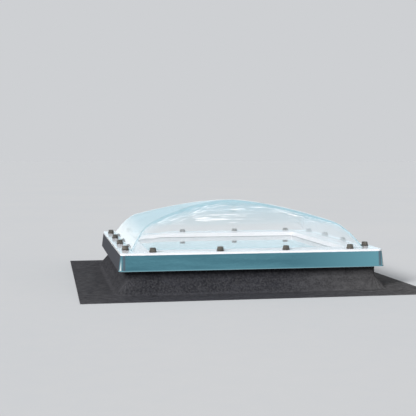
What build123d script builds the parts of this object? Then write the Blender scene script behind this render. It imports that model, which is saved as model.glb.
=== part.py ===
from build123d import *
import math
import os

os.makedirs("parts", exist_ok=True)

# Driving dimensions in millimetres. +Z is up, the roof deck is z = 0 and the
# skylight is centred on the origin.
PANE_OPENING = 930.0        # clear light opening, which the plan follows from
KERB_WIDTH = 103.0          # opening to the outside of the kerb
FLANGE_OVERHANG = 32.0      # kerb to the edge of the dome flange
FLANGE_TOP = 187.0          # height of the flange above the deck
FLANGE_CORNER_R = 18.0
SHEET_T = 3.0               # dome sheet
LIP_DROP = 10.5             # turned down edge of the dome flange
LIP_PLAY = 0.5              # lip to the edge of the frame

DOME_RIM = 57.0             # flat flange outside the foot of the dome
DOME_RISE = 203.0
DOME_WALL_ANGLE = 57.0      # degrees from the flange
SHOULDER_RISE = 97.0
SHOULDER_BLEND = 51.0
FOOT_CORNER_R = 57.0
SHOULDER_CORNER_R = 88.0
CROWN_POWER = 1.77          # exponent of the crown's profile
CROWN_FLAT = 8.0            # half size of the last section
CROWN_ROUNDNESS = 0.75      # corner radius over half size at the crown
DOME_SECTIONS = 20
DOME_FOOT_R = 5.0

FIXING_INSET = 34.0         # flange edge to the screw line
FIXING_END = 145.5          # flange edge to the last screw of a side
FIXINGS_PER_SIDE = 4

SKIRT_BOTTOM = 107.0
SKIRT_FLARE = 8.4
SKIRT_T = 3.0
SKIRT_CORNER_R = 24.0
HOOK_T = 3.0
HEM_W = 6.0
HEM_T = 2.5

PANE_DEPTH = 27.0           # flange top down to the glass
OUTER_PANE_T = 4.0
PANE_CAVITY = 16.0
INNER_PANE_T = 8.0
GLASS_COVER = 22.0          # glass edge hidden by the frame
PANE_CORNER_R = 3.0
SPACER_W = 7.0
SPACER_INSET = 3.5          # behind the edge of the opening
TAPE_T = 2.0
TAPE_W = 18.0
GASKET_T = 2.0
GASKET_W = 13.0
STRIP_INSET = 1.5           # tape and gasket behind the edge of the opening
EDGE_PLAY = 5.0             # glass edge to the rebate wall
BLOCK_L = 90.0
BLOCK_END = 177.0           # glass corner to the middle of a block
BLOCK_H = 18.0

PLATE_T = 3.5
FRAME_WALL = 3.0
FRAME_LEG_T = 4.0
FRAME_FOOT_W = 17.0
NOSE_W = 5.5
LEG_DROP = 34.0             # frame top down to the foot of the outer leg
CLIP_RIB_W = 3.5
SEAL_W = 8.0
SEAL_T = 2.0
OPENING_CORNER_R = 4.0

KERB_WALL = 4.0
KERB_CORNER_R = 8.0
REBATE_DEPTH = 30.0
HEAD_T = 12.0
HEAD_OUT = 18.0             # drip nose over the top of the membrane
FOOT_T = 5.0
LINING_H = 14.0
LINING_DEPTH = 2.0
CORE_PLAY = 0.2

CANT_W = 46.0
CANT_H = 56.0
CANT_RELIEF = 20.0
CANT_CORNER_R = 40.0
MEMBRANE_T = 4.0
APRON_T = 3.0
APRON_REACH = 213.0         # kerb to the edge of the apron
FOLD_LOW_R = 25.0           # membrane bends, slope to apron and slope to wall
FOLD_HIGH_R = 30.0
PATCH_T = 1.5
PATCH_R = 135.0
PATCH_TOP = 126.0

DECK_HOLE_D = 7.0
DECK_HOLE_END = 168.0       # kerb corner to the hole
DECK_HOLE_OUT = 10.0        # kerb wall to the hole

SCREW_D = 5.5
SCREW_BITE = 10.0
SCREW_HEAD_D = 11.0
SCREW_HEAD_H = 4.5
SOCKET_AF = 4.0
SOCKET_H = 2.5
SLEEVE_D = 11.4
SLEEVE_PLAY = 0.5
HOLE_PLAY = 0.5             # screw in plain holes, on radius
PILOT_PLAY = 0.05
SPIGOT_D = 10.0
SPIGOT_PLAY = 1.0           # room for the dome to grow in the heat
WASHER_D = 30.0
WASHER_T = 1.5
WASHER_PLAY = 0.2
CAP_BASE_D = 34.0
CAP_BASE_T = 3.5
CAP_D = 31.0
CAP_TOP_D = 26.0
CAP_H = 19.5                # top of the cap above the flange
CAP_WALL = 2.0
CAP_EDGE_R = 2.0
CLIP_PLAY = 0.1

# Levels and half sizes that follow from them
OPEN_HALF = PANE_OPENING / 2
KERB_HALF = OPEN_HALF + KERB_WIDTH
HEAD_HALF = KERB_HALF + HEAD_OUT
APRON_HALF = KERB_HALF + APRON_REACH
FLANGE_HALF = KERB_HALF + FLANGE_OVERHANG
DOME_HALF = FLANGE_HALF - DOME_RIM
FRAME_TOP = FLANGE_TOP - SHEET_T
PLATE_BOTTOM = FRAME_TOP - PLATE_T
LIP_BOTTOM = FLANGE_TOP - LIP_DROP
FRAME_HALF = FLANGE_HALF - SHEET_T - LIP_PLAY
FRAME_CORNER_R = FLANGE_CORNER_R - SHEET_T - LIP_PLAY
LEG_HALF = FRAME_HALF - NOSE_W
PANE_HALF = OPEN_HALF + GLASS_COVER
PANE_TOP = FLANGE_TOP - PANE_DEPTH
OUTER_PANE_BOTTOM = PANE_TOP - OUTER_PANE_T
INNER_PANE_TOP = OUTER_PANE_BOTTOM - PANE_CAVITY
UNIT_BOTTOM = INNER_PANE_TOP - INNER_PANE_T
LEDGE_TOP = UNIT_BOTTOM - TAPE_T
KERB_TOP = LEDGE_TOP + REBATE_DEPTH
HEAD_BOTTOM = KERB_TOP - HEAD_T
REBATE_HALF = PANE_HALF + EDGE_PLAY
FIXING_LINE = FLANGE_HALF - FIXING_INSET
FIXING_PITCH = 2 * (FLANGE_HALF - FIXING_END) / (FIXINGS_PER_SIDE - 1)
RIB_OFFSET = SLEEVE_D / 2 + SLEEVE_PLAY
SEAL_OUT = FIXING_LINE - RIB_OFFSET - FRAME_WALL
CAP_SEAT = FLANGE_TOP + WASHER_T + CAP_BASE_T
SIDES = ("front", "right", "back", "left")


def slab(half, radius, bottom, top):
    face = Rectangle(2 * half, 2 * half)
    if radius > 0:
        face = RectangleRounded(2 * half, 2 * half, radius)
    return Pos(0, 0, bottom) * extrude(face, amount=top - bottom)


def ring(outer, inner, bottom, top, outer_r=0.0, inner_r=0.0):
    return slab(outer, outer_r, bottom, top) - slab(inner, inner_r, bottom - 1, top + 1)


def flared(low, low_r, high, high_r, bottom, top):
    low_face = Pos(0, 0, bottom) * RectangleRounded(2 * low, 2 * low, low_r)
    high_face = Pos(0, 0, top) * RectangleRounded(2 * high, 2 * high, high_r)
    return loft([low_face, high_face], ruled=True)


def rod(diameter, bottom, top):
    return Pos(0, 0, bottom) * extrude(Circle(diameter / 2), amount=top - bottom)


def tube(outer_d, inner_d, bottom, top):
    return rod(outer_d, bottom, top) - rod(inner_d, bottom - 1, top + 1)


def quarter(solid, side):
    """The mitred length of a ring on one side."""
    reach = 2 * APRON_HALF
    corner = make_face(Polyline((0, 0), (-reach, -reach), (reach, -reach), close=True))
    wedge = Pos(0, 0, -reach / 2) * extrude(corner, amount=reach)
    return solid & (Rot(0, 0, 90 * side) * wedge)


def at_fixings(piece):
    first = -(FIXINGS_PER_SIDE - 1) / 2
    return [
        Rot(0, 0, 90 * side) * Pos((first + i) * FIXING_PITCH, -FIXING_LINE, 0) * piece
        for side in range(4)
        for i in range(FIXINGS_PER_SIDE)
    ]


def dome_profile(half):
    """Height above the flange where the dome is this far from the middle."""
    slope = math.tan(math.radians(DOME_WALL_ANGLE))
    wall = (DOME_HALF - half) * slope
    out = half / (DOME_HALF - SHOULDER_RISE / slope)
    crown = SHOULDER_RISE + (DOME_RISE - SHOULDER_RISE) * (1 - out ** CROWN_POWER)
    mix = min(max(0.5 + 0.5 * (wall - crown) / SHOULDER_BLEND, 0), 1)
    return wall * (1 - mix) + crown * mix - SHOULDER_BLEND * mix * (1 - mix)


def dome_corner_radius(half):
    shoulder = DOME_HALF - SHOULDER_RISE / math.tan(math.radians(DOME_WALL_ANGLE))
    if half < shoulder:
        part = half / shoulder
        return half * (SHOULDER_CORNER_R / shoulder * part + CROWN_ROUNDNESS * (1 - part))
    part = (half - shoulder) / (DOME_HALF - shoulder)
    return SHOULDER_CORNER_R + part * (FOOT_CORNER_R - SHOULDER_CORNER_R)


def dome_stations():
    """Half sizes from foot to crown, evenly spaced along the profile."""
    steps = 400
    halves = [DOME_HALF + (CROWN_FLAT - DOME_HALF) * i / steps for i in range(steps + 1)]
    run = [0.0]
    for near, far in zip(halves, halves[1:]):
        run.append(run[-1] + math.hypot(near - far, dome_profile(near) - dome_profile(far)))
    for i in range(DOME_SECTIONS):
        goal = run[-1] * i / (DOME_SECTIONS - 1)
        yield halves[min(range(steps + 1), key=lambda k: abs(run[k] - goal))]


def dome_bulge(inward):
    """Loft through rounded squares, all moved inward along the profile's normal."""
    sections = []
    step = 0.5
    for half in dome_stations():
        slope = (dome_profile(half - step) - dome_profile(half + step)) / (2 * step)
        length = math.hypot(slope, 1)
        shift = inward * slope / length
        size = 2 * (half - shift)
        height = FLANGE_TOP + dome_profile(half) - inward / length
        radius = dome_corner_radius(half) - shift
        sections.append(Pos(0, 0, height) * RectangleRounded(size, size, radius))
    return loft(sections)


def dome():
    flange = slab(FLANGE_HALF, FLANGE_CORNER_R, LIP_BOTTOM, FLANGE_TOP)
    flange -= slab(FLANGE_HALF - SHEET_T, FLANGE_CORNER_R - SHEET_T, LIP_BOTTOM - 1, FRAME_TOP)
    flange = fillet(flange.edges().group_by(Axis.Z)[-1], SHEET_T / 2)
    body = flange + dome_bulge(0)
    level = body.edges().filter_by_position(Axis.Z, FLANGE_TOP - 0.01, FLANGE_TOP + 0.01)
    foot = level.filter_by_position(Axis.X, -DOME_HALF - 1, DOME_HALF + 1)
    foot = foot.filter_by_position(Axis.Y, -DOME_HALF - 1, DOME_HALF + 1)
    body = fillet(foot, DOME_FOOT_R)
    hollow = dome_bulge(SHEET_T)
    mouth = hollow.faces().sort_by(Axis.Z)[0]
    hollow += extrude(mouth, amount=SHEET_T, dir=(0, 0, -1))
    hole = rod(SPIGOT_D + 2 * SPIGOT_PLAY, FRAME_TOP - 1, FLANGE_TOP + 1)
    return body - hollow - at_fixings(hole)


def drip_skirt():
    def shell(inset):
        return flared(
            FLANGE_HALF + SKIRT_FLARE - inset, SKIRT_CORNER_R - inset,
            FLANGE_HALF - inset, FLANGE_CORNER_R - inset,
            SKIRT_BOTTOM, LIP_BOTTOM,
        )

    body = shell(0) - shell(SKIRT_T)
    hook_r = FRAME_CORNER_R - NOSE_W
    hook = ring(FLANGE_HALF, LEG_HALF + CLIP_PLAY, LIP_BOTTOM - HOOK_T, LIP_BOTTOM, 0, hook_r)
    hem = slab(FLANGE_HALF + SKIRT_FLARE, 0, SKIRT_BOTTOM, SKIRT_BOTTOM + HEM_T)
    body += shell(SKIRT_T / 2) & hook
    return body + (hem & (shell(SKIRT_T / 2) - shell(SKIRT_T + HEM_W)))


def top_frame():
    inner_r = OPENING_CORNER_R
    leg_r = FRAME_CORNER_R - NOSE_W
    leg_in = LEG_HALF - FRAME_WALL
    foot = PANE_TOP + GASKET_T
    rib = LIP_BOTTOM - HOOK_T - CLIP_PLAY
    body = ring(FRAME_HALF, OPEN_HALF, PLATE_BOTTOM, FRAME_TOP, FRAME_CORNER_R, inner_r)
    body += ring(FRAME_HALF, leg_in, LIP_BOTTOM, FRAME_TOP, FRAME_CORNER_R, leg_r)
    body += ring(LEG_HALF, leg_in, FRAME_TOP - LEG_DROP, FRAME_TOP, leg_r, leg_r - FRAME_WALL)
    body += ring(LEG_HALF + CLIP_RIB_W, leg_in, rib - FRAME_WALL, rib, FRAME_CORNER_R, leg_r)
    body += ring(OPEN_HALF + FRAME_LEG_T, OPEN_HALF, foot, FRAME_TOP, inner_r, inner_r)
    body += ring(OPEN_HALF + FRAME_FOOT_W, OPEN_HALF, foot, foot + FRAME_WALL, inner_r, inner_r)
    for outer in (FIXING_LINE - RIB_OFFSET, FIXING_LINE + RIB_OFFSET + FRAME_WALL):
        body += ring(outer, outer - FRAME_WALL, KERB_TOP, FRAME_TOP)
    hole = rod(SCREW_D + 2 * HOLE_PLAY, PLATE_BOTTOM - 1, FRAME_TOP + 1)
    return body - seal_ring() - at_fixings(hole)


def seal_ring():
    return ring(SEAL_OUT, SEAL_OUT - SEAL_W, FRAME_TOP - SEAL_T, FRAME_TOP)


def slope_top(grow):
    return FOOT_T + CANT_H + grow * (math.hypot(CANT_W, CANT_H) - CANT_H) / CANT_W


def envelope(grow):
    """Kerb wall and cant slope together, grown outward by a layer's thickness."""
    low = KERB_HALF + CANT_W * (1 + FOOT_T / CANT_H) + grow * math.hypot(CANT_W, CANT_H) / CANT_H
    top = slope_top(grow)
    high = KERB_HALF + grow
    slope = flared(low, CANT_CORNER_R + grow, high, KERB_CORNER_R + grow, 0, top)
    return slope + slab(high, KERB_CORNER_R + grow, top, HEAD_BOTTOM)


def kerb():
    wall_r = KERB_CORNER_R - KERB_WALL
    in_r = OPENING_CORNER_R
    ledge = LEDGE_TOP - KERB_WALL
    rebate_out = REBATE_HALF + KERB_WALL
    body = ring(KERB_HALF, KERB_HALF - KERB_WALL, 0, KERB_TOP, KERB_CORNER_R, wall_r)
    body += ring(HEAD_HALF, REBATE_HALF, HEAD_BOTTOM, KERB_TOP, KERB_CORNER_R, in_r)
    body += ring(rebate_out, REBATE_HALF, ledge, KERB_TOP, in_r, in_r)
    body += ring(rebate_out, OPEN_HALF, ledge, LEDGE_TOP, in_r, in_r)
    body += ring(OPEN_HALF + KERB_WALL, OPEN_HALF, 0, LEDGE_TOP, in_r, in_r)
    body -= slab(OPEN_HALF + LINING_DEPTH, in_r, -1, LINING_H)
    foot = envelope(0) & slab(APRON_HALF, 0, 0, FOOT_T)
    body += foot - slab(KERB_HALF - KERB_WALL, wall_r, -1, FOOT_T + 1)
    hole = rod(DECK_HOLE_D, -1, FOOT_T + 1)
    body -= [
        Rot(0, 0, 90 * side) * Pos(along, -KERB_HALF - DECK_HOLE_OUT, 0) * hole
        for side in range(4)
        for along in (DECK_HOLE_END - KERB_HALF, KERB_HALF - DECK_HOLE_END)
    ]
    pilot = rod(SCREW_D + 2 * PILOT_PLAY, KERB_TOP - SCREW_BITE - HOLE_PLAY, KERB_TOP + 1)
    return body - at_fixings(pilot)


def kerb_core():
    out = KERB_HALF - KERB_WALL - CORE_PLAY
    out_r = KERB_CORNER_R - KERB_WALL
    low_in = OPEN_HALF + KERB_WALL + CORE_PLAY
    high_in = REBATE_HALF + KERB_WALL + CORE_PLAY
    low_top = LEDGE_TOP - KERB_WALL - CORE_PLAY
    body = ring(out, low_in, 0, low_top, out_r, OPENING_CORNER_R)
    return body + ring(out, high_in, 0, HEAD_BOTTOM - CORE_PLAY, out_r, OPENING_CORNER_R)


def cant_ring():
    body = envelope(0) & slab(APRON_HALF, 0, FOOT_T, HEAD_BOTTOM)
    body -= slab(KERB_HALF, KERB_CORNER_R, 0, KERB_TOP)
    out = KERB_HALF + CANT_RELIEF
    out_r = KERB_CORNER_R + CANT_RELIEF
    return body - flared(out, out_r, KERB_HALF, KERB_CORNER_R, FOOT_T, FOOT_T + CANT_RELIEF)


def membrane_form(grow, apron_top):
    """Apron, slope and upstand in one, with the two folds rounded."""
    body = envelope(grow) + slab(APRON_HALF, 0, 0, apron_top)
    near = KERB_HALF + CANT_W + CANT_H
    low = body.edges().filter_by_position(Axis.Z, apron_top - 0.01, apron_top + 0.01)
    low = low.filter_by_position(Axis.X, -near, near).filter_by_position(Axis.Y, -near, near)
    body = fillet(low, FOLD_LOW_R)
    top = slope_top(grow)
    return fillet(body.edges().filter_by_position(Axis.Z, top - 0.01, top + 0.01), FOLD_HIGH_R)


def corner_patch(side):
    disc = Pos(-KERB_HALF, -KERB_HALF, 0) * rod(2 * PATCH_R, 0, PATCH_TOP)
    cover = membrane_form(MEMBRANE_T + PATCH_T, APRON_T + PATCH_T) & disc
    return Rot(0, 0, 90 * side) * (cover - membrane_form(MEMBRANE_T, APRON_T))


def setting_blocks():
    block = Box(BLOCK_L, EDGE_PLAY - CLIP_PLAY, BLOCK_H, align=(Align.CENTER, Align.MAX, Align.MIN))
    return Compound([
        Rot(0, 0, 90 * side) * Pos(along, -PANE_HALF - CLIP_PLAY, LEDGE_TOP) * block
        for side in range(4)
        for along in (BLOCK_END - PANE_HALF, PANE_HALF - BLOCK_END)
    ])


def screw():
    head_top = CAP_SEAT + SCREW_HEAD_H
    body = rod(SCREW_D, KERB_TOP - SCREW_BITE, CAP_SEAT) + rod(SCREW_HEAD_D, CAP_SEAT, head_top)
    hexagon = RegularPolygon(SOCKET_AF / 2, 6, major_radius=False)
    return body - Pos(0, 0, head_top - SOCKET_H) * extrude(hexagon, amount=SOCKET_H + 1)


def cap_base():
    body = rod(CAP_BASE_D, FLANGE_TOP + WASHER_T, CAP_SEAT) + rod(SPIGOT_D, FRAME_TOP, CAP_SEAT)
    return body - rod(SCREW_D + 2 * HOLE_PLAY, FRAME_TOP - 1, CAP_SEAT + 1)


def cap():
    def cone(wall, height):
        low = CAP_D / 2 - wall
        high = CAP_TOP_D / 2 - wall
        upright = (Align.CENTER, Align.CENTER, Align.MIN)
        return Pos(0, 0, CAP_SEAT) * Cone(low, high, height, align=upright)

    height = FLANGE_TOP + CAP_H - CAP_SEAT
    outer = cone(0, height)
    outer = fillet(outer.edges().group_by(Axis.Z)[-1], CAP_EDGE_R)
    return outer - cone(CAP_WALL, height - CAP_WALL)


def glass_strip(width, bottom, top):
    inner = OPEN_HALF + STRIP_INSET
    return ring(inner + width, inner, bottom, top)


def cavity_ring(outer, inner):
    return ring(outer, inner, INNER_PANE_TOP, OUTER_PANE_BOTTOM)


spacer_in = OPEN_HALF + SPACER_INSET
spacer_out = spacer_in + SPACER_W
screw_hole_d = SCREW_D + 2 * HOLE_PLAY
sleeve = tube(SLEEVE_D, screw_hole_d, KERB_TOP, PLATE_BOTTOM)
washer = tube(WASHER_D, SPIGOT_D + 2 * WASHER_PLAY, FLANGE_TOP, FLANGE_TOP + WASHER_T)
membrane = membrane_form(MEMBRANE_T, APRON_T) - envelope(0)
parts = {
    "dome": dome(),
    "drip_skirt": drip_skirt(),
    "top_frame": top_frame(),
    "dome_seal": seal_ring(),
    "glazing_gasket": glass_strip(GASKET_W, PANE_TOP, PANE_TOP + GASKET_T),
    "outer_pane": slab(PANE_HALF, PANE_CORNER_R, OUTER_PANE_BOTTOM, PANE_TOP),
    "spacer_bar": cavity_ring(spacer_out, spacer_in),
    "edge_sealant": cavity_ring(PANE_HALF - STRIP_INSET, spacer_out),
    "inner_pane": slab(PANE_HALF, PANE_CORNER_R, UNIT_BOTTOM, INNER_PANE_TOP),
    "glazing_tape": glass_strip(TAPE_W, LEDGE_TOP, UNIT_BOTTOM),
    "setting_blocks": setting_blocks(),
    "kerb": kerb(),
    "fixing_screws": Compound(at_fixings(screw())),
    "spacer_sleeves": Compound(at_fixings(sleeve)),
    "sealing_washers": Compound(at_fixings(washer)),
    "cap_bases": Compound(at_fixings(cap_base())),
    "screw_caps": Compound(at_fixings(cap())),
}
for side, name in enumerate(SIDES):
    parts["kerb_core_" + name] = quarter(kerb_core(), side)
    parts["cant_strip_" + name] = quarter(cant_ring(), side)
    parts["flashing_" + name] = quarter(membrane, side)
    parts["corner_patch_" + name] = corner_patch(side)

for name, solid in parts.items():
    export_step(solid, "parts/" + name + ".step")
    print(name, len(solid.solids()), round(solid.volume / 1000, 1))
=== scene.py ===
import math

import bpy
from mathutils import Euler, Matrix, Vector


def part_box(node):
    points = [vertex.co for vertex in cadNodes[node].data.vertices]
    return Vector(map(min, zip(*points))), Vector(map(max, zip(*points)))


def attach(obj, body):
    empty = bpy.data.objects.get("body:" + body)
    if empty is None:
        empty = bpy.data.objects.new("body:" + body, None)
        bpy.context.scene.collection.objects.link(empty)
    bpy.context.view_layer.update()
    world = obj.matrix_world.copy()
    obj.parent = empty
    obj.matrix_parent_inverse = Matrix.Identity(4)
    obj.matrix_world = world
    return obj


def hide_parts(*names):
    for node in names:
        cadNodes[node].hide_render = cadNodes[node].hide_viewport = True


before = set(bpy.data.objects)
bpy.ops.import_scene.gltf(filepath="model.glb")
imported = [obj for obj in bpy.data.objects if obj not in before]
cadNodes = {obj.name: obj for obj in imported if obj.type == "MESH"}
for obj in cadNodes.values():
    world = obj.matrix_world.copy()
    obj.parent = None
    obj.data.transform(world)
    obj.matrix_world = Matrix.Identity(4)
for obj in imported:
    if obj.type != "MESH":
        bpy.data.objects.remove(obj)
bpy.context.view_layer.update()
print("frame loaded:", len(cadNodes), "nodes")


def boxOf(node):  # lowest and highest corner of a CAD node, to the micrometre
    return [[round(part, 6) for part in corner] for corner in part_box(node)]


# places that follow from the frame, in metres
domeLow, domeHigh = boxOf("dome")
capLow, capHigh = boxOf("screw_caps")
skirtFoot = boxOf("drip_skirt")[0][2]
flangeTop = boxOf("sealing_washers")[0][2]
flangeHalf = domeHigh[0]
flangeOverhang = 0.032
kerbHalf = flangeHalf - flangeOverhang


# helpers for node trees and made meshes

def plug(tree, socket, value):
    if isinstance(value, bpy.types.NodeSocket):
        tree.links.new(value, socket)
    elif value is not None:
        socket.default_value = value


def addNode(tree, kind, inputs=None, **settings):
    node = tree.nodes.new(kind)
    for key, value in settings.items():
        setattr(node, key, value)
    for key, value in (inputs or {}).items():
        plug(tree, node.inputs[key], value)
    return node


def calc(tree, operation, *values, clamp=False):  # one Math node
    node = addNode(tree, "ShaderNodeMath", operation=operation, use_clamp=clamp)
    for socket, value in zip(node.inputs, values):
        plug(tree, socket, value)
    return node.outputs[0]


def linear(red, green, blue):  # screen colour 0-255 to the value a shader takes
    shares = [c / 255 for c in (red, green, blue)]
    return tuple(c / 12.92 if c < 0.04045 else ((c + 0.055) / 1.055) ** 2.4 for c in shares) + (1,)


def geometryTree(name, sizes):
    tree = bpy.data.node_groups.new(name, "GeometryNodeTree")
    for label, value in sizes.items():
        kind = "NodeSocketInt" if isinstance(value, int) else "NodeSocketFloat"
        tree.interface.new_socket(name=label, in_out="INPUT", socket_type=kind)
    tree.interface.new_socket(name="Finish", in_out="INPUT", socket_type="NodeSocketMaterial")
    tree.interface.new_socket(name="Geometry", in_out="OUTPUT", socket_type="NodeSocketGeometry")
    return tree, tree.nodes.new("NodeGroupInput").outputs


def endTree(tree, geometry, finish):  # real faces with their material
    real = addNode(tree, "GeometryNodeRealizeInstances", {"Geometry": geometry})
    painted = addNode(tree, "GeometryNodeSetMaterial", {"Geometry": real.outputs[0], "Material": finish})
    smooth = addNode(tree, "GeometryNodeSetShadeSmooth", {"Geometry": painted.outputs[0]})
    plug(tree, tree.nodes.new("NodeGroupOutput").inputs[0], smooth.outputs[0])


def pieceFromTree(name, tree, sizes, material, finishers, sharpAngle):
    piece = bpy.data.objects.new(name, bpy.data.meshes.new(name))
    bpy.context.scene.collection.objects.link(piece)
    maker = piece.modifiers.new("maker", "NODES")
    maker.node_group = tree
    for item in tree.interface.items_tree:
        if item.in_out == "INPUT":
            maker[item.identifier] = material if item.name == "Finish" else sizes[item.name]
    for kind, settings in finishers.items():
        finisher = piece.modifiers.new(kind.lower(), kind)
        for key, value in settings.items():
            setattr(finisher, key, value)
    depsgraph = bpy.context.evaluated_depsgraph_get()
    made = bpy.data.meshes.new_from_object(piece.evaluated_get(depsgraph), depsgraph=depsgraph)
    piece.modifiers.clear()
    piece.data = made
    made.set_sharp_from_angle(angle=math.radians(sharpAngle))
    print(name, "made,", len(made.polygons), "faces")
    return piece


# helpers for patterns

def ramped(tree, value, low, high):  # 0 at low, 1 at high
    ramp = addNode(tree, "ShaderNodeMapRange", {"Value": value, "From Min": low, "From Max": high})
    return ramp.outputs[0]


def spread(tree, value, low, high):  # 0..1 to a range
    return addNode(tree, "ShaderNodeMapRange", {"Value": value, "To Min": low, "To Max": high}).outputs[0]


def stretched(tree, coords, scale):  # pattern drawn out along an axis
    return addNode(tree, "ShaderNodeMapping", {"Vector": coords, "Scale": scale}).outputs[0]


def noiseOf(tree, vector, scale, **settings):
    inputs = dict({"Vector": vector, "Scale": scale}, **settings)
    return addNode(tree, "ShaderNodeTexNoise", inputs).outputs[0]


def axesOf(tree, coords):
    return addNode(tree, "ShaderNodeSeparateXYZ", {"Vector": coords}).outputs


def blendColours(tree, mask, low, high):
    node = addNode(tree, "ShaderNodeMix", data_type="RGBA")  # 6, 7 and 2 are its colour sockets
    plug(tree, node.inputs[0], mask)
    plug(tree, node.inputs[6], low)
    plug(tree, node.inputs[7], high)
    return node.outputs[2]


# shader groups that several finishes share

def shaderGroup(name, inputs, output):
    tree = bpy.data.node_groups.new(name, "ShaderNodeTree")
    for label, value in inputs.items():
        kind = "NodeSocketVector" if value is None else "NodeSocketFloat"
        socket = tree.interface.new_socket(name=label, in_out="INPUT", socket_type=kind)
        if value is not None:
            socket.default_value = value
    tree.interface.new_socket(name=output, in_out="OUTPUT", socket_type="NodeSocketFloat")
    return tree, tree.nodes.new("NodeGroupInput").outputs, tree.nodes.new("NodeGroupOutput").inputs[output]


dustRule = {"fineness": 23.0, "fine": 0.35, "wide": 0.75, "from": 0.42, "full": 0.72}


def makeDustGroup(rule):  # soft patches, broken up by a finer noise
    tree, given, out = shaderGroup("weatherDust", {"Vector": None, "Scale": 4.0, "Amount": 0.5}, "Mask")
    wide = noiseOf(tree, given["Vector"], given["Scale"], Detail=5.0, Roughness=0.6)
    fineScale = calc(tree, "MULTIPLY", given["Scale"], rule["fineness"])
    fine = noiseOf(tree, given["Vector"], fineScale, Detail=3.0)
    both = calc(tree, "MULTIPLY_ADD", fine, rule["fine"], calc(tree, "MULTIPLY", wide, rule["wide"]))
    mask = addNode(tree, "ShaderNodeMapRange", {
        "Value": both, "From Min": rule["from"], "From Max": rule["full"], "To Max": given["Amount"]})
    plug(tree, out, mask.outputs[0])
    return tree


def makeGrainGroup():  # fine moulding or sheet grain with a slow swell under it
    tree, given, out = shaderGroup(
        "surfaceGrain", {"Vector": None, "Grain Scale": 600.0, "Swell Scale": 6.0, "Swell": 0.5}, "Height")
    grain = noiseOf(tree, given["Vector"], given["Grain Scale"], Detail=2.0)
    swell = noiseOf(tree, given["Vector"], given["Swell Scale"], Detail=2.0)
    fine = calc(tree, "MULTIPLY", grain, calc(tree, "SUBTRACT", 1.0, given["Swell"]))
    plug(tree, out, calc(tree, "MULTIPLY_ADD", swell, given["Swell"], fine))
    return tree


def makeMitreGroup():  # 1 on the diagonals of the square, outside a given half size
    tree, given, out = shaderGroup("mitreLine", {"Vector": None, "Width": 0.001, "Start": 0.4}, "Mask")
    axes = axesOf(tree, given["Vector"])
    across, along = calc(tree, "ABSOLUTE", axes[0]), calc(tree, "ABSOLUTE", axes[1])
    away = calc(tree, "ABSOLUTE", calc(tree, "SUBTRACT", across, along))
    line = addNode(
        tree, "ShaderNodeMapRange", {"Value": away, "From Max": given["Width"], "To Min": 1.0, "To Max": 0.0},
        interpolation_type="SMOOTHSTEP")
    outside = calc(tree, "GREATER_THAN", calc(tree, "MAXIMUM", across, along), given["Start"])
    plug(tree, out, calc(tree, "MULTIPLY", line.outputs[0], outside))
    return tree


dustGroup = makeDustGroup(dustRule)
grainGroup = makeGrainGroup()
mitreGroup = makeMitreGroup()


# helpers for finishes

def newFinish(name, **settings):
    material = bpy.data.materials.new(name)
    material.use_nodes = True
    tree = material.node_tree
    shader = tree.nodes["Principled BSDF"]
    for key, value in settings.items():
        shader.inputs[key.replace("_", " ")].default_value = value
    coords = tree.nodes.new("ShaderNodeTexCoord").outputs["Object"]
    return material, tree, shader, coords


def useGroup(tree, group, **values):
    node = tree.nodes.new("ShaderNodeGroup")
    node.node_tree = group
    for key, value in values.items():
        plug(tree, node.inputs[key.replace("_", " ")], value)
    return node.outputs[0]


def dustOn(tree, vector, scale, amount=1.0):
    return useGroup(tree, dustGroup, Vector=vector, Scale=scale, Amount=amount)


def grainOn(tree, coords, look):
    return useGroup(
        tree, grainGroup, Vector=coords, Grain_Scale=look["grainScale"],
        Swell_Scale=look["swellScale"], Swell=look["swell"])


def addBump(tree, shader, height, look):
    bump = addNode(tree, "ShaderNodeBump", {
        "Height": height, "Strength": look["bump"], "Distance": look["depth"]})
    plug(tree, shader.inputs["Normal"], bump.outputs[0])


def clearForShadows(tree, shader, tint):  # light passes a clear sheet without a dark shadow
    rays = tree.nodes.new("ShaderNodeLightPath")
    clear = tree.nodes.new("ShaderNodeBsdfTransparent")
    clear.inputs[0].default_value = tint
    mixer = tree.nodes.new("ShaderNodeMixShader")
    plug(tree, mixer.inputs[0], rays.outputs["Is Shadow Ray"])
    plug(tree, mixer.inputs[1], shader.outputs[0])
    plug(tree, mixer.inputs[2], clear.outputs[0])
    plug(tree, tree.nodes["Material Output"].inputs["Surface"], mixer.outputs[0])


sheetLook = {
    "clear": 1.0, "shadowTint": (0.985, 0.99, 0.995, 1), "dustScale": 3.0, "worn": 0.02,
    "drawnFrom": 0.0, "drawnRun": 0.05, "flatRun": 0.002, "flatRough": 0.0,
    "grainScale": 60.0, "swell": 0.99, "depth": 0.004,
}


def clearSheet(name, look):  # a drawn sheet waves above drawnFrom and is rougher on its flat rim
    material, tree, shader, coords = newFinish(
        name, Base_Color=look["tint"], Metallic=0.0, IOR=look["index"],
        Transmission_Weight=look["clear"], Roughness=look["roughness"])
    dust = dustOn(tree, coords, look["dustScale"])
    height = axesOf(tree, coords)[2]
    start = look["drawnFrom"]
    flat = ramped(tree, height, start, start - look["flatRun"])
    worn = spread(tree, dust, look["roughness"], look["roughness"] + look["worn"])
    plug(tree, shader.inputs["Roughness"], calc(tree, "MULTIPLY_ADD", flat, look["flatRough"], worn))
    drawn = ramped(tree, height, start, start + look["drawnRun"])
    addBump(tree, shader, calc(tree, "MULTIPLY", grainOn(tree, coords, look), drawn), look)
    clearForShadows(tree, shader, look["shadowTint"])
    return material


plainLook = {
    "metallic": 0.0, "dustScale": 6.0, "worn": 0.15,
    "grainScale": 500.0, "swellScale": 20.0, "swell": 0.3, "bump": 0.12, "depth": 0.001,
}


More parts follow.
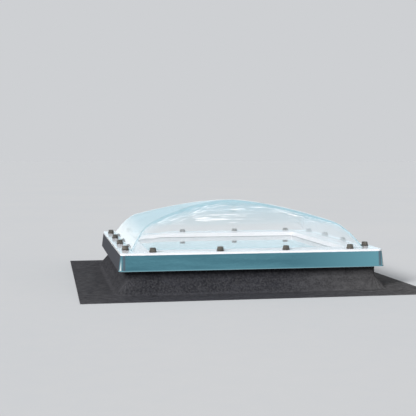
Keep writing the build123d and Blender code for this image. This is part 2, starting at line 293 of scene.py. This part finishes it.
def plainFinish(name, colour, dusty, roughness, **changes):
    look = dict(plainLook, **changes)
    material, tree, shader, coords = newFinish(name, Metallic=look["metallic"])
    dust = dustOn(tree, coords, look["dustScale"])
    plug(tree, shader.inputs["Base Color"], blendColours(tree, dust, linear(*colour), linear(*dusty)))
    plug(tree, shader.inputs["Roughness"], spread(tree, dust, roughness, min(roughness + look["worn"], 1)))
    addBump(tree, shader, grainOn(tree, coords, look), look)
    return material


# the dome, from one rule for its profile and its corners

domeRim = 0.057  # flat flange outside the foot of the dome
domeRise = 0.2029  # a hair under the solid's crown
domeSizes = {
    "Flange Half": flangeHalf, "Flange Top": flangeTop, "Lip Drop": flangeTop - domeLow[2],
    "Dome Half": flangeHalf - domeRim, "Dome Rise": domeRise, "Wall Angle": 57.0,
    "Shoulder Rise": 0.097, "Shoulder Blend": 0.051, "Crown Power": 1.77, "Crown Roundness": 0.75,
    "Shoulder Corner": 0.088, "Foot Corner": 0.057, "Foot Blend": 0.006,
    "Flange Corner": 0.018, "Edge Radius": 0.0037, "Row Gather": 1.5,
    "Dome Rows": 62, "Flange Rows": 12, "Edge Rows": 5, "Lip Rows": 3,
}
domeLook = dict(
    sheetLook, sheet=0.0034, tint=(0.97, 0.98, 0.985, 1), index=1.49, clear=0.95, roughness=0.003,
    flatRough=0.12, drawnFrom=flangeTop + 0.003, swellScale=5.5, bump=0.12)


def makeDomeTree():
    tree, size = geometryTree("domeFromRule", domeSizes)

    def do(operation, *values, clamp=False):
        return calc(tree, operation, *values, clamp=clamp)

    # a grid in square rings, counted from the middle
    curvedRows = do("ADD", size["Dome Rows"], size["Flange Rows"])
    rows = do("ADD", curvedRows, do("ADD", size["Edge Rows"], size["Lip Rows"]))
    count = do("MULTIPLY_ADD", rows, 2.0, 1.0)
    grid = addNode(tree, "GeometryNodeMeshGrid", {
        "Size X": 2.0, "Size Y": 2.0, "Vertices X": count, "Vertices Y": count})
    x, y = axesOf(tree, tree.nodes.new("GeometryNodeInputPosition").outputs[0])[:2]
    acrossX, acrossY = do("ABSOLUTE", x), do("ABSOLUTE", y)
    row = do("MULTIPLY", do("MAXIMUM", acrossX, acrossY), rows)
    inDome = do("DIVIDE", row, size["Dome Rows"], clamp=True)
    past = do("SUBTRACT", row, size["Dome Rows"])
    inFlange = do("DIVIDE", past, size["Flange Rows"], clamp=True)
    past = do("SUBTRACT", past, size["Flange Rows"])
    inEdge = do("DIVIDE", past, size["Edge Rows"], clamp=True)
    past = do("SUBTRACT", past, size["Edge Rows"])
    inLip = do("DIVIDE", past, size["Lip Rows"], clamp=True)

    # how far each ring is from the middle, closer together at the foot
    domePart = do("SUBTRACT", 1.0, do("POWER", do("SUBTRACT", 1.0, inDome), size["Row Gather"]))
    flangeRun = do("SUBTRACT", do("SUBTRACT", size["Flange Half"], size["Edge Radius"]), size["Dome Half"])
    flangeOut = do("MULTIPLY", do("POWER", inFlange, size["Row Gather"]), flangeRun)
    half = do("MULTIPLY_ADD", domePart, size["Dome Half"], flangeOut)
    turn = do("MULTIPLY", inEdge, math.pi / 2)
    edgeOut = do("MULTIPLY", size["Edge Radius"], do("SINE", turn))
    edgeDown = do("MULTIPLY", size["Edge Radius"], do("SUBTRACT", 1.0, do("COSINE", turn)))

    # height: steep wall and soft crown blended at the shoulder, wall blended into the flange
    slope = do("TANGENT", do("RADIANS", size["Wall Angle"]))
    shoulder = do("SUBTRACT", size["Dome Half"], do("DIVIDE", size["Shoulder Rise"], slope))
    wall = do("MULTIPLY", do("SUBTRACT", size["Dome Half"], half), slope)
    fall = do("SUBTRACT", 1.0, do("POWER", do("DIVIDE", half, shoulder), size["Crown Power"]))
    crownRise = do("SUBTRACT", size["Dome Rise"], size["Shoulder Rise"])
    crown = do("MULTIPLY_ADD", crownRise, fall, size["Shoulder Rise"])
    lead = do("DIVIDE", do("SUBTRACT", wall, crown), size["Shoulder Blend"])
    mix = do("MULTIPLY_ADD", lead, 0.5, 0.5, clamp=True)
    rest = do("SUBTRACT", 1.0, mix)
    joined = do("MULTIPLY_ADD", wall, rest, do("MULTIPLY", crown, mix))
    bare = do("SUBTRACT", joined, do("MULTIPLY", size["Shoulder Blend"], do("MULTIPLY", mix, rest)))
    lift = do("MULTIPLY_ADD", do("DIVIDE", bare, size["Foot Blend"]), 0.5, 0.5, clamp=True)
    sweep = do("MULTIPLY", size["Foot Blend"], do("MULTIPLY", lift, do("SUBTRACT", 1.0, lift)))
    height = do("MULTIPLY_ADD", bare, lift, do("ADD", size["Flange Top"], sweep))
    lipRun = do("SUBTRACT", size["Lip Drop"], size["Edge Radius"])
    height = do("SUBTRACT", height, do("MULTIPLY_ADD", inLip, lipRun, edgeDown))

    # corner radius: round at the crown, tighter down to the foot and the flange edge
    inside = do("MINIMUM", half, shoulder)
    part = do("DIVIDE", inside, shoulder)
    roundness = do("MULTIPLY", size["Crown Roundness"], do("SUBTRACT", 1.0, part))
    perHalf = do("MULTIPLY_ADD", do("DIVIDE", size["Shoulder Corner"], shoulder), part, roundness)
    wallRun = do("SUBTRACT", size["Dome Half"], shoulder)
    down = do("DIVIDE", do("SUBTRACT", half, shoulder), wallRun, clamp=True)
    tighter = do("MULTIPLY", down, do("SUBTRACT", size["Foot Corner"], size["Shoulder Corner"]))
    radius = do("MULTIPLY_ADD", inside, perHalf, tighter)
    flangeCorner = do("SUBTRACT", size["Flange Corner"], size["Edge Radius"])
    radius = do("MULTIPLY_ADD", inFlange, do("SUBTRACT", flangeCorner, size["Foot Corner"]), radius)
    radius = do("ADD", radius, edgeOut)
    half = do("ADD", half, edgeOut)

    # where the ray through the grid point meets the rounded square
    length = do("SQRT", do("MULTIPLY_ADD", x, x, do("MULTIPLY", y, y)))
    rayX, rayY = do("DIVIDE", acrossX, length), do("DIVIDE", acrossY, length)
    toSide = do("DIVIDE", half, do("MAXIMUM", rayX, rayY))
    core = do("SUBTRACT", half, radius)
    onArc = do("GREATER_THAN", do("MULTIPLY", toSide, do("MINIMUM", rayX, rayY)), core)
    reach = do("MULTIPLY", core, do("ADD", rayX, rayY))
    coreSquare = do("MULTIPLY", 2.0, do("MULTIPLY", core, core))
    square = do("SUBTRACT", do("MULTIPLY_ADD", reach, reach, do("MULTIPLY", radius, radius)), coreSquare)
    toArc = do("ADD", reach, do("SQRT", do("MAXIMUM", square, 0.0)))
    far = do("MULTIPLY_ADD", onArc, do("SUBTRACT", toArc, toSide), toSide)
    scale = do("DIVIDE", far, length)
    place = addNode(tree, "ShaderNodeCombineXYZ", {
        "X": do("MULTIPLY", x, scale), "Y": do("MULTIPLY", y, scale), "Z": height})
    moved = addNode(tree, "GeometryNodeSetPosition", {
        "Geometry": grid.outputs[0], "Position": place.outputs[0]})
    endTree(tree, moved.outputs[0], size["Finish"])
    return tree


domeSheet = pieceFromTree(
    "domeSheet", makeDomeTree(), domeSizes, clearSheet("clearDome", domeLook),
    {"SOLIDIFY": {"thickness": domeLook["sheet"], "offset": -1, "use_even_offset": True}}, sharpAngle=40)
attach(domeSheet, "root")
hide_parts("dome")


# screw caps, one row on each side

capInset = 0.034  # flange edge to the screw line
capEnd = 0.1455  # flange edge to the last cap of a side
capsPerSide = 4
capSizes = {
    "Per Side": capsPerSide, "Pitch": 2 * (flangeHalf - capEnd) / (capsPerSide - 1),
    "Line": flangeHalf - capInset, "Seat": capLow[2], "Height": capHigh[2] - capLow[2],
    "Foot Radius": 0.0155, "Top Radius": 0.013, "Facets": 48, "Dish": 0.0007, "Dish Share": 0.76, "Seed": 7,
}
capTurn = (0.0, 0.0, 6.283)  # each cap was turned home to its own angle
capEdges = {  # the weld leaves no faces without area where two bevels meet
    "BEVEL": {"width": 0.0014, "segments": 3, "limit_method": "ANGLE", "angle_limit": math.radians(35)},
    "WELD": {"merge_threshold": 0.00002},
}


def makeCapTree():
    tree, size = geometryTree("capRow", capSizes)

    def do(operation, *values):
        return calc(tree, operation, *values)

    # one cap: a cone with a shallow dish in its top
    cone = addNode(tree, "GeometryNodeMeshCone", {
        "Vertices": size["Facets"], "Side Segments": 2, "Radius Top": size["Top Radius"],
        "Radius Bottom": size["Foot Radius"], "Depth": size["Height"]})
    rim = addNode(tree, "GeometryNodeExtrudeMesh", {
        "Mesh": cone.outputs["Mesh"], "Selection": cone.outputs["Top"], "Offset Scale": 0.0,
        "Individual": False})
    top = rim.outputs["Top"]
    inner = addNode(tree, "GeometryNodeScaleElements", {
        "Geometry": rim.outputs["Mesh"], "Selection": top, "Scale": size["Dish Share"]})
    dish = addNode(tree, "GeometryNodeExtrudeMesh", {
        "Mesh": inner.outputs[0], "Selection": top, "Offset Scale": do("MULTIPLY", size["Dish"], -1.0),
        "Individual": False})

    # its places: a row at the front, turned to the other three sides
    points = addNode(tree, "GeometryNodePoints", {"Count": do("MULTIPLY", size["Per Side"], 4.0)})
    index = tree.nodes.new("GeometryNodeInputIndex").outputs[0]
    side = do("FLOOR", do("DIVIDE", do("ADD", index, 0.01), size["Per Side"]))  # 0.01 for rounding
    step = do("SUBTRACT", index, do("MULTIPLY", side, size["Per Side"]))
    middle = do("MULTIPLY", do("SUBTRACT", size["Per Side"], 1.0), 0.5)
    along = do("MULTIPLY", do("SUBTRACT", step, middle), size["Pitch"])
    start = addNode(tree, "ShaderNodeCombineXYZ", {
        "X": along, "Y": do("MULTIPLY", size["Line"], -1.0), "Z": size["Seat"]})
    turned = addNode(tree, "ShaderNodeVectorRotate", {
        "Vector": start.outputs[0], "Angle": do("MULTIPLY", side, math.pi / 2)}, rotation_type="Z_AXIS")
    placed = addNode(tree, "GeometryNodeSetPosition", {
        "Geometry": points.outputs[0], "Position": turned.outputs[0]})
    spin = addNode(
        tree, "FunctionNodeRandomValue", {"Max": capTurn, "Seed": size["Seed"]}, data_type="FLOAT_VECTOR")
    caps = addNode(tree, "GeometryNodeInstanceOnPoints", {
        "Points": placed.outputs[0], "Instance": dish.outputs["Mesh"], "Rotation": spin.outputs[0]})
    endTree(tree, caps.outputs[0], size["Finish"])
    return tree


capFinish = plainFinish(
    "capPlastic", (58, 54, 52), (104, 98, 90), 0.34, grainScale=1200.0, bump=0.15, dustScale=40.0)
screwCaps = pieceFromTree("screwCaps", makeCapTree(), capSizes, capFinish, capEdges, sharpAngle=60)
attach(screwCaps, "root")
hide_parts("screw_caps")


# white frame under the dome

frameLook = {
    "colour": linear(249, 247, 251), "dusty": linear(232, 231, 236), "dustScale": 5.0, "dust": 0.55,
    "weld": linear(198, 202, 208), "mitreWidth": 0.0011, "mitreStart": 0.3,
    "coat": 0.25, "coatRough": 0.15, "clean": 0.28, "worn": 0.5,
    "grainScale": 900.0, "swellScale": 9.0, "swell": 0.4, "grainHeight": 0.2, "bump": 0.35, "depth": 0.0008,
}


def whiteProfileFinish(spec):
    material, tree, shader, coords = newFinish(
        "whiteProfile", Coat_Weight=spec["coat"], Coat_Roughness=spec["coatRough"])
    dust = dustOn(tree, coords, spec["dustScale"], spec["dust"])
    mitre = useGroup(tree, mitreGroup, Vector=coords, Width=spec["mitreWidth"], Start=spec["mitreStart"])
    clean = blendColours(tree, dust, spec["colour"], spec["dusty"])
    plug(tree, shader.inputs["Base Color"], blendColours(tree, mitre, clean, spec["weld"]))
    plug(tree, shader.inputs["Roughness"], spread(tree, dust, spec["clean"], spec["worn"]))
    grain = calc(tree, "MULTIPLY", grainOn(tree, coords, spec), spec["grainHeight"])
    addBump(tree, shader, calc(tree, "SUBTRACT", grain, mitre), spec)
    return material


# glossy skirt: a painted dark reflection and a painted highlight on the rounded corners by the place along a
# side, hem and foot by the height, a painted sheen toward +X and a painted dark reflection at a flat angle

skirtLook = {
    # paler is the colour of the dust streaks and of a painted sheen toward +X
    "colour": linear(58, 98, 111), "paler": linear(87, 135, 148), "sheenFrom": 0.15, "sheenFull": 0.62,
    "dustScale": 4.0, "dustStretch": (1.0, 1.0, 9.0), "dustShare": 0.5,
    # painted reflection: a dark band where each rounded corner begins; painted highlight: pale on the corners
    "bendReflection": linear(76, 84, 94), "bendAt": 0.585, "bendWidth": 0.0085, "bendCore": 0.00255, "bendShare": 0.85,
    "corner": linear(205, 212, 212), "cornerFrom": 0.595, "cornerFull": 0.601,
    "hem": linear(86, 128, 141), "hemTop": skirtFoot + 0.005,
    "foot": linear(136, 164, 172), "footTop": skirtFoot + 0.0012, "edgeRun": 0.0006,
    # painted reflection: the grey that the skirt takes where it is seen at a flat angle
    "grazingDarkReflection": linear(72, 74, 79), "glancingFrom": 0.6, "glancingFull": 0.78,
    "coat": 0.3, "coatRough": 0.06, "clean": 0.22, "worn": 0.4,
    "grainScale": 300.0, "swellScale": 3.5, "swell": 0.97, "bump": 0.15, "depth": 0.004,
}


def skirtColour(tree, coords, dust, spec):
    x, y, z = axesOf(tree, coords)
    # painted sheen: the face pales toward +X; the dust streaks pale it too
    paintedSheen = ramped(tree, x, spec["sheenFrom"], spec["sheenFull"])  # toward +X
    tone = calc(tree, "MAXIMUM", calc(tree, "MULTIPLY", dust, spec["dustShare"]), paintedSheen)
    face = blendColours(tree, tone, spec["colour"], spec["paler"])
    along = calc(tree, "MINIMUM", calc(tree, "ABSOLUTE", x), calc(tree, "ABSOLUTE", y))
    # painted reflection: a dark band near the start of each rounded corner
    fromBend = calc(tree, "ABSOLUTE", calc(tree, "SUBTRACT", along, spec["bendAt"]))
    line = ramped(tree, fromBend, spec["bendWidth"], spec["bendCore"])
    shaded = blendColours(tree, calc(tree, "MULTIPLY", line, spec["bendShare"]), face, spec["bendReflection"])
    # painted highlight: pale on the rounded corners
    cornerHighlightMask = ramped(tree, along, spec["cornerFrom"], spec["cornerFull"])
    cornerHighlighted = blendColours(tree, cornerHighlightMask, shaded, spec["corner"])
    hem = ramped(tree, z, spec["hemTop"], spec["hemTop"] - spec["edgeRun"])
    foot = ramped(tree, z, spec["footTop"], spec["footTop"] - spec["edgeRun"])
    return blendColours(tree, foot, blendColours(tree, hem, cornerHighlighted, spec["hem"]), spec["foot"])


def skirtFinish(spec):
    material, tree, shader, coords = newFinish(
        "skirtGloss", Coat_Roughness=spec["coatRough"], Specular_IOR_Level=0.0)
    dust = dustOn(tree, stretched(tree, coords, spec["dustStretch"]), spec["dustScale"])
    # painted reflection: the skirt's colour turns grey where it is seen at a flat angle
    slant = addNode(tree, "ShaderNodeLayerWeight", {"Blend": 0.5}).outputs["Facing"]
    grazingDarkReflection = ramped(tree, slant, spec["glancingFrom"], spec["glancingFull"])  # dark at a flat angle
    colour = skirtColour(tree, coords, dust, spec)
    plug(tree, shader.inputs["Base Color"], blendColours(tree, grazingDarkReflection, colour, spec["grazingDarkReflection"]))
    plug(tree, shader.inputs["Coat Weight"], spread(tree, grazingDarkReflection, spec["coat"], 0.0))
    plug(tree, shader.inputs["Roughness"], spread(tree, dust, spec["clean"], spec["worn"]))
    addBump(tree, shader, grainOn(tree, coords, spec), spec)
    return material


# roofing membrane: streaks along each side, dust and painted light at its ends, folds that fan out from the
# corners

membraneLook = {
    "colour": linear(39, 40, 45), "paler": linear(58, 59, 65),
    "streakStretch": (1.0, 9.0, 9.0), "streakScale": 2.4, "streakShare": 0.55,
    "patchScale": 9.0, "patchShare": 0.45,
    # painted light: the flat part on the roof is paler than the slopes
    "flat": linear(72, 73, 79), "flatFrom": 0.012, "flatTop": 0.004, "flatShare": 0.7,
    # drift: dust and painted light toward +X, painted light alone toward -X
    "endsDustAndLight": linear(113, 112, 111), "driftShare": 0.36, "wornDrift": 0.5,
    "driftFrom": 0.1, "driftFull": 0.78, "leftFrom": -0.5, "leftFull": -0.7, "leftLightShare": 0.35,
    "blot": linear(26, 26, 29), "blotStretch": (1.0, 1.0, 1.6), "blotScale": 34.0, "blotShare": 0.6,
    "speckle": linear(92, 92, 95), "speckleScale": 120.0, "speckleFrom": 0.4, "speckleFull": 0.72,
    "speckleShare": 0.4,
    # painted shade: darker on the upstand under the skirt
    "upstand": linear(22, 22, 25), "upstandFrom": 0.06, "upstandFull": 0.075, "upstandShare": 0.35,
    "seam": linear(72, 72, 76), "seamWidth": 0.006, "seamStart": kerbHalf, "seamHeight": 0.3,
    "fanReach": 0.16, "fanCore": 0.08, "folds": 14.0, "foldHeight": 0.35, "wobble": 5.0, "wobbleScale": 9.0,
    "clean": 0.62, "worn": 0.85,
    "grainScale": 500.0, "swellScale": 14.0, "swell": 0.75, "bump": 0.55, "depth": 0.004,
}
patchLook = dict(membraneLook, colour=linear(37, 38, 43), seamWidth=0.001)


def alongSides(tree, coords, axes, onSide):  # coordinates that run along each side
    swapped = addNode(tree, "ShaderNodeCombineXYZ", {"X": axes[1], "Y": axes[0], "Z": axes[2]})
    turned = addNode(tree, "ShaderNodeMix", data_type="VECTOR")  # 4, 5 and 1 are its vector sockets
    plug(tree, turned.inputs[0], onSide)
    plug(tree, turned.inputs[4], coords)
    plug(tree, turned.inputs[5], swapped.outputs[0])
    return turned.outputs[1]


def membraneColour(tree, coords, axes, sideways, worn, spec):
    x, z = axes[0], axes[2]
    ground = blendColours(tree, worn, spec["colour"], spec["paler"])
    # painted light: paler where the sheet lies flat on the roof
    paintedFlatLight = calc(tree, "MULTIPLY", ramped(tree, z, spec["flatFrom"], spec["flatTop"]), spec["flatShare"])
    laid = blendColours(tree, paintedFlatLight, ground, spec["flat"])
    # painted light: paler toward -X; dust and painted light toward +X
    paintedLeftLight = calc(tree, "MULTIPLY", ramped(tree, x, spec["leftFrom"], spec["leftFull"]), spec["leftLightShare"])
    ends = calc(tree, "MAXIMUM", ramped(tree, x, spec["driftFrom"], spec["driftFull"]), paintedLeftLight)
    endsDustAndLight = calc(tree, "MULTIPLY_ADD", worn, spec["wornDrift"], spec["driftShare"])
    dustedAndLit = blendColours(tree, calc(tree, "MULTIPLY", ends, endsDustAndLight), laid, spec["endsDustAndLight"])
    blots = dustOn(tree, stretched(tree, sideways, spec["blotStretch"]), spec["blotScale"])
    stained = blendColours(tree, calc(tree, "MULTIPLY", blots, spec["blotShare"]), dustedAndLit, spec["blot"])
    fine = noiseOf(tree, coords, spec["speckleScale"], Detail=5.0, Roughness=0.6)
    specks = ramped(tree, fine, spec["speckleFrom"], spec["speckleFull"])
    speckled = calc(tree, "MULTIPLY", specks, spec["speckleShare"])
    mottled = blendColours(tree, speckled, stained, spec["speckle"])
    # painted shade: the upstand darkens under the skirt
    wall = ramped(tree, z, spec["upstandFrom"], spec["upstandFull"])  # darker under the skirt
    return blendColours(tree, calc(tree, "MULTIPLY", wall, spec["upstandShare"]), mottled, spec["upstand"])


def cornerFolds(tree, coords, across, along, spec):
    out = [calc(tree, "SUBTRACT", part, spec["seamStart"]) for part in (across, along)]
    turn = calc(tree, "ARCTAN2", out[1], out[0])
    square = calc(tree, "MULTIPLY_ADD", out[0], out[0], calc(tree, "MULTIPLY", out[1], out[1]))
    near = ramped(tree, calc(tree, "SQRT", square), spec["fanReach"], spec["fanCore"])
    wobble = calc(tree, "MULTIPLY", noiseOf(tree, coords, spec["wobbleScale"]), spec["wobble"])
    fold = calc(tree, "SINE", calc(tree, "MULTIPLY_ADD", turn, spec["folds"], wobble))
    return calc(tree, "MULTIPLY", fold, near)


def membraneFinish(name, spec):
    material, tree, shader, coords = newFinish(name, Specular_IOR_Level=0.0)
    axes = axesOf(tree, coords)
    across, along = calc(tree, "ABSOLUTE", axes[0]), calc(tree, "ABSOLUTE", axes[1])
    sideways = alongSides(tree, coords, axes, calc(tree, "GREATER_THAN", across, along))
    streaks = dustOn(tree, stretched(tree, sideways, spec["streakStretch"]), spec["streakScale"])
    patches = calc(tree, "MULTIPLY", dustOn(tree, coords, spec["patchScale"]), spec["patchShare"])
    worn = calc(tree, "MULTIPLY_ADD", streaks, spec["streakShare"], patches)
    seam = useGroup(tree, mitreGroup, Vector=coords, Width=spec["seamWidth"], Start=spec["seamStart"])
    colour = membraneColour(tree, coords, axes, sideways, worn, spec)
    plug(tree, shader.inputs["Base Color"], blendColours(tree, seam, colour, spec["seam"]))
    plug(tree, shader.inputs["Roughness"], spread(tree, worn, spec["clean"], spec["worn"]))
    folds = cornerFolds(tree, coords, across, along, spec)
    height = calc(tree, "MULTIPLY_ADD", folds, spec["foldHeight"], grainOn(tree, coords, spec))
    addBump(tree, shader, calc(tree, "MULTIPLY_ADD", seam, spec["seamHeight"], height), spec)
    return material


# finishes of the solids that stay

glassLook = dict(
    sheetLook, tint=(0.93, 0.985, 0.99, 1), index=1.52, roughness=0.002, swellScale=2.0, bump=0.02)
paneGlass = clearSheet("paneGlass", glassLook)
metal = {"metallic": 1.0}
foam = {"grainScale": 700.0, "bump": 0.4}
softFoam = {"grainScale": 900.0, "bump": 0.4}
board = {"grainScale": 240.0, "bump": 0.5}
moulded = {"grainScale": 1200.0, "dustScale": 40.0}
plainFinishes = {  # by the start of the nodes' names: finish, colour, dusty colour, roughness, changes
    "kerb": ("kerbWhite", (236, 238, 241), (216, 219, 222), 0.35, {}),
    "kerb_core_": ("coreFoam", (214, 216, 220), (192, 195, 200), 0.8, foam),
    "cant_strip_": ("cantBoard", (176, 158, 122), (142, 124, 92), 0.85, board),
    "dome_seal": ("sealFoam", (226, 228, 231), (206, 208, 212), 0.8, softFoam),
    "glazing_gasket": ("gasketRubber", (196, 200, 205), (176, 180, 186), 0.6, {}),
    "glazing_tape": ("tapeFoam", (50, 50, 52), (66, 66, 68), 0.85, {}),
    "spacer_bar": ("spacerMetal", (186, 188, 191), (168, 170, 174), 0.3, metal),
    "edge_sealant": ("edgeSealant", (34, 34, 36), (48, 48, 50), 0.6, {}),
    "setting_blocks": ("blockPlastic", (60, 84, 130), (80, 100, 142), 0.5, {}),
    "fixing_screws": ("screwSteel", (176, 176, 180), (150, 150, 154), 0.28, metal),
    "spacer_sleeves": ("sleeveSteel", (168, 170, 174), (146, 148, 152), 0.35, metal),
    "sealing_washers": ("washerRubber", (38, 37, 37), (56, 55, 54), 0.7, {}),
    "cap_bases": ("capBasePlastic", (52, 49, 47), (92, 87, 80), 0.38, moulded),
}
finishes = {
    start: plainFinish(name, colour, dusty, roughness, **changes)
    for start, (name, colour, dusty, roughness, changes) in plainFinishes.items()
}
finishes.update({
    "top_frame": whiteProfileFinish(frameLook), "drip_skirt": skirtFinish(skirtLook),
    "outer_pane": paneGlass, "inner_pane": paneGlass,
    "flashing_": membraneFinish("roofMembrane", membraneLook),
    "corner_patch_": membraneFinish("cornerPatch", patchLook),
})
for name, node in cadNodes.items():
    starts = [start for start in finishes if name.startswith(start)]
    if starts:
        for place in node.material_slots:
            place.material = finishes[max(starts, key=len)]
print("finishes set:", len(bpy.data.materials))


# floor

stageLook = {
    "colour": linear(201, 203, 206), "shade": linear(198, 201, 205), "dustScale": 0.6, "roughness": 0.9,
    "reach": 200.0, "level": -0.0006,
}


def addFloor(spec):
    reach, level = spec["reach"], spec["level"]
    corners = [(x, y, level) for x, y in ((-reach, -reach), (reach, -reach), (reach, reach), (-reach, reach))]
    mesh = bpy.data.meshes.new("paleFloor")
    mesh.from_pydata(corners, [], [(0, 1, 2, 3)])
    material, tree, shader, coords = newFinish(
        "floorPaint", Roughness=spec["roughness"], Specular_IOR_Level=0.0)
    dust = dustOn(tree, coords, spec["dustScale"])
    plug(tree, shader.inputs["Base Color"], blendColours(tree, dust, spec["colour"], spec["shade"]))
    mesh.materials.append(material)
    floor = bpy.data.objects.new("paleFloor", mesh)
    bpy.context.scene.collection.objects.link(floor)


addFloor(stageLook)


# lamps

lampAim = Vector((0, 0, 0.15))
lampLook = {
    "key": {"place": (-2.65, -2.6, 1.8), "power": 3.85, "angle": 0.25, "colour": (1.0, 0.985, 0.96)},
    "fill": {"place": (3.6, -3.2, 3.0), "power": 0.3, "angle": 1.0, "colour": (1.0, 0.97, 0.93)},
}


def addLamp(name, spec):
    lamp = bpy.data.lights.new(name, "SUN")
    lamp.energy = spec["power"]
    lamp.color = spec["colour"]
    lamp.angle = spec["angle"]
    holder = bpy.data.objects.new(name, lamp)
    holder.location = spec["place"]
    holder.rotation_euler = (lampAim - Vector(spec["place"])).to_track_quat("-Z", "Y").to_euler()
    holder.visible_camera = False
    holder.visible_transmission = False
    holder.visible_glossy = False  # its disc would show in the dome
    bpy.context.scene.collection.objects.link(holder)


for name, spec in lampLook.items():
    addLamp(name, spec)


# world: soft light, a plain backdrop, and a sky that only mirrored paths see

worldLook = {
    "light": (0.985, 0.99, 1.0, 1), "strength": 0.54, "backdrop": linear(206, 208, 211),
    "lowSky": linear(240, 245, 247), "highSky": linear(190, 220, 231),
    "skyStops": {0.05: linear(233, 243, 247), 0.12: linear(195, 229, 242), 0.3: linear(146, 208, 228)},
    "cloud": linear(250, 251, 252), "cloudShift": (1.3, 0, 0), "cloudStretch": (1, 1, 1.2),
    "cloudScale": 12.0, "cloudDetail": 6.0, "cloudDistortion": 3.0, "cloudFrom": 0.54, "cloudFull": 0.62,
    "bandLow": (0.25, 0.4), "bandHigh": (0.86, 0.7),
    "cloudBack": (0.3, 0.7), "backShare": 0.75, "frontShare": 0.25,
    "glint": 1.25, "glow": 0.25, "glowHeight": (0.13, 0.06), "glowBack": (-0.2, 0.4),
}


def cloudCover(sky, way, toward, look):  # in a band above the horizon, most clouds at the back
    field = addNode(sky, "ShaderNodeMapping", {
        "Vector": way, "Location": look["cloudShift"], "Scale": look["cloudStretch"]}).outputs[0]
    noise = noiseOf(
        sky, field, look["cloudScale"], Detail=look["cloudDetail"], Distortion=look["cloudDistortion"])
    low, high = ramped(sky, toward[2], *look["bandLow"]), ramped(sky, toward[2], *look["bandHigh"])
    back = ramped(sky, toward[1], *look["cloudBack"])
    side = calc(sky, "MULTIPLY_ADD", back, look["backShare"], look["frontShare"])
    band = calc(sky, "MULTIPLY", calc(sky, "MULTIPLY", low, high), side)
    return calc(sky, "MULTIPLY", ramped(sky, noise, look["cloudFrom"], look["cloudFull"]), band)


def makeWorld(look):
    world = bpy.data.worlds.new("softStudio")
    world.use_nodes = True
    bpy.context.scene.world = world
    sky = world.node_tree
    way = sky.nodes.new("ShaderNodeTexCoord").outputs["Generated"]
    toward = axesOf(sky, way)
    light = sky.nodes["Background"]
    plug(sky, light.inputs["Color"], look["light"])
    plug(sky, light.inputs["Strength"], look["strength"])

    above = addNode(sky, "ShaderNodeValToRGB", {"Fac": toward[2]})
    stops = above.color_ramp.elements
    for height, colour in look["skyStops"].items():
        stops.new(height).color = colour
    stops[0].color, stops[-1].color = look["lowSky"], look["highSky"]
    clouds = cloudCover(sky, way, toward, look)
    cloudy = blendColours(sky, clouds, above.outputs[0], look["cloud"])
    low, back = ramped(sky, toward[2], *look["glowHeight"]), ramped(sky, toward[1], *look["glowBack"])
    glow = calc(sky, "MULTIPLY", calc(sky, "MULTIPLY", low, back), look["glow"])  # brightest low at the back
    shining = calc(sky, "MULTIPLY_ADD", clouds, look["glint"], glow)

    rays = sky.nodes.new("ShaderNodeLightPath").outputs
    mirrored = calc(sky, "MINIMUM", rays["Glossy Depth"], 1.0)
    seen = addNode(sky, "ShaderNodeBackground", {
        "Color": blendColours(sky, mirrored, look["backdrop"], cloudy),
        "Strength": calc(sky, "MULTIPLY_ADD", shining, mirrored, 1.0)})
    through = calc(sky, "MAXIMUM", rays["Is Glossy Ray"], rays["Is Transmission Ray"])
    mixer = sky.nodes.new("ShaderNodeMixShader")
    plug(sky, mixer.inputs[0], calc(sky, "MAXIMUM", rays["Is Camera Ray"], through))
    plug(sky, mixer.inputs[1], light.outputs[0])
    plug(sky, mixer.inputs[2], seen.outputs[0])
    plug(sky, sky.nodes["World Output"].inputs["Surface"], mixer.outputs[0])


makeWorld(worldLook)
print("lamps and world set")


# camera

cameraLook = {"place": (-0.9103, -4.4547, 0.5985), "pitch": 3.174, "yaw": 10.245, "lens": 77.07, "sensor": 36}


def addCamera(spec):
    camera = bpy.data.cameras.new("photoView")
    camera.lens = spec["lens"]
    camera.sensor_width = spec["sensor"]
    viewer = bpy.data.objects.new("photoView", camera)
    viewer.location = spec["place"]
    viewer.rotation_euler = Euler((math.radians(90 - spec["pitch"]), 0, math.radians(-spec["yaw"])))
    bpy.context.scene.collection.objects.link(viewer)
    bpy.context.scene.camera = viewer


addCamera(cameraLook)
bpy.context.scene.view_settings.view_transform = "Standard"
print("camera set")
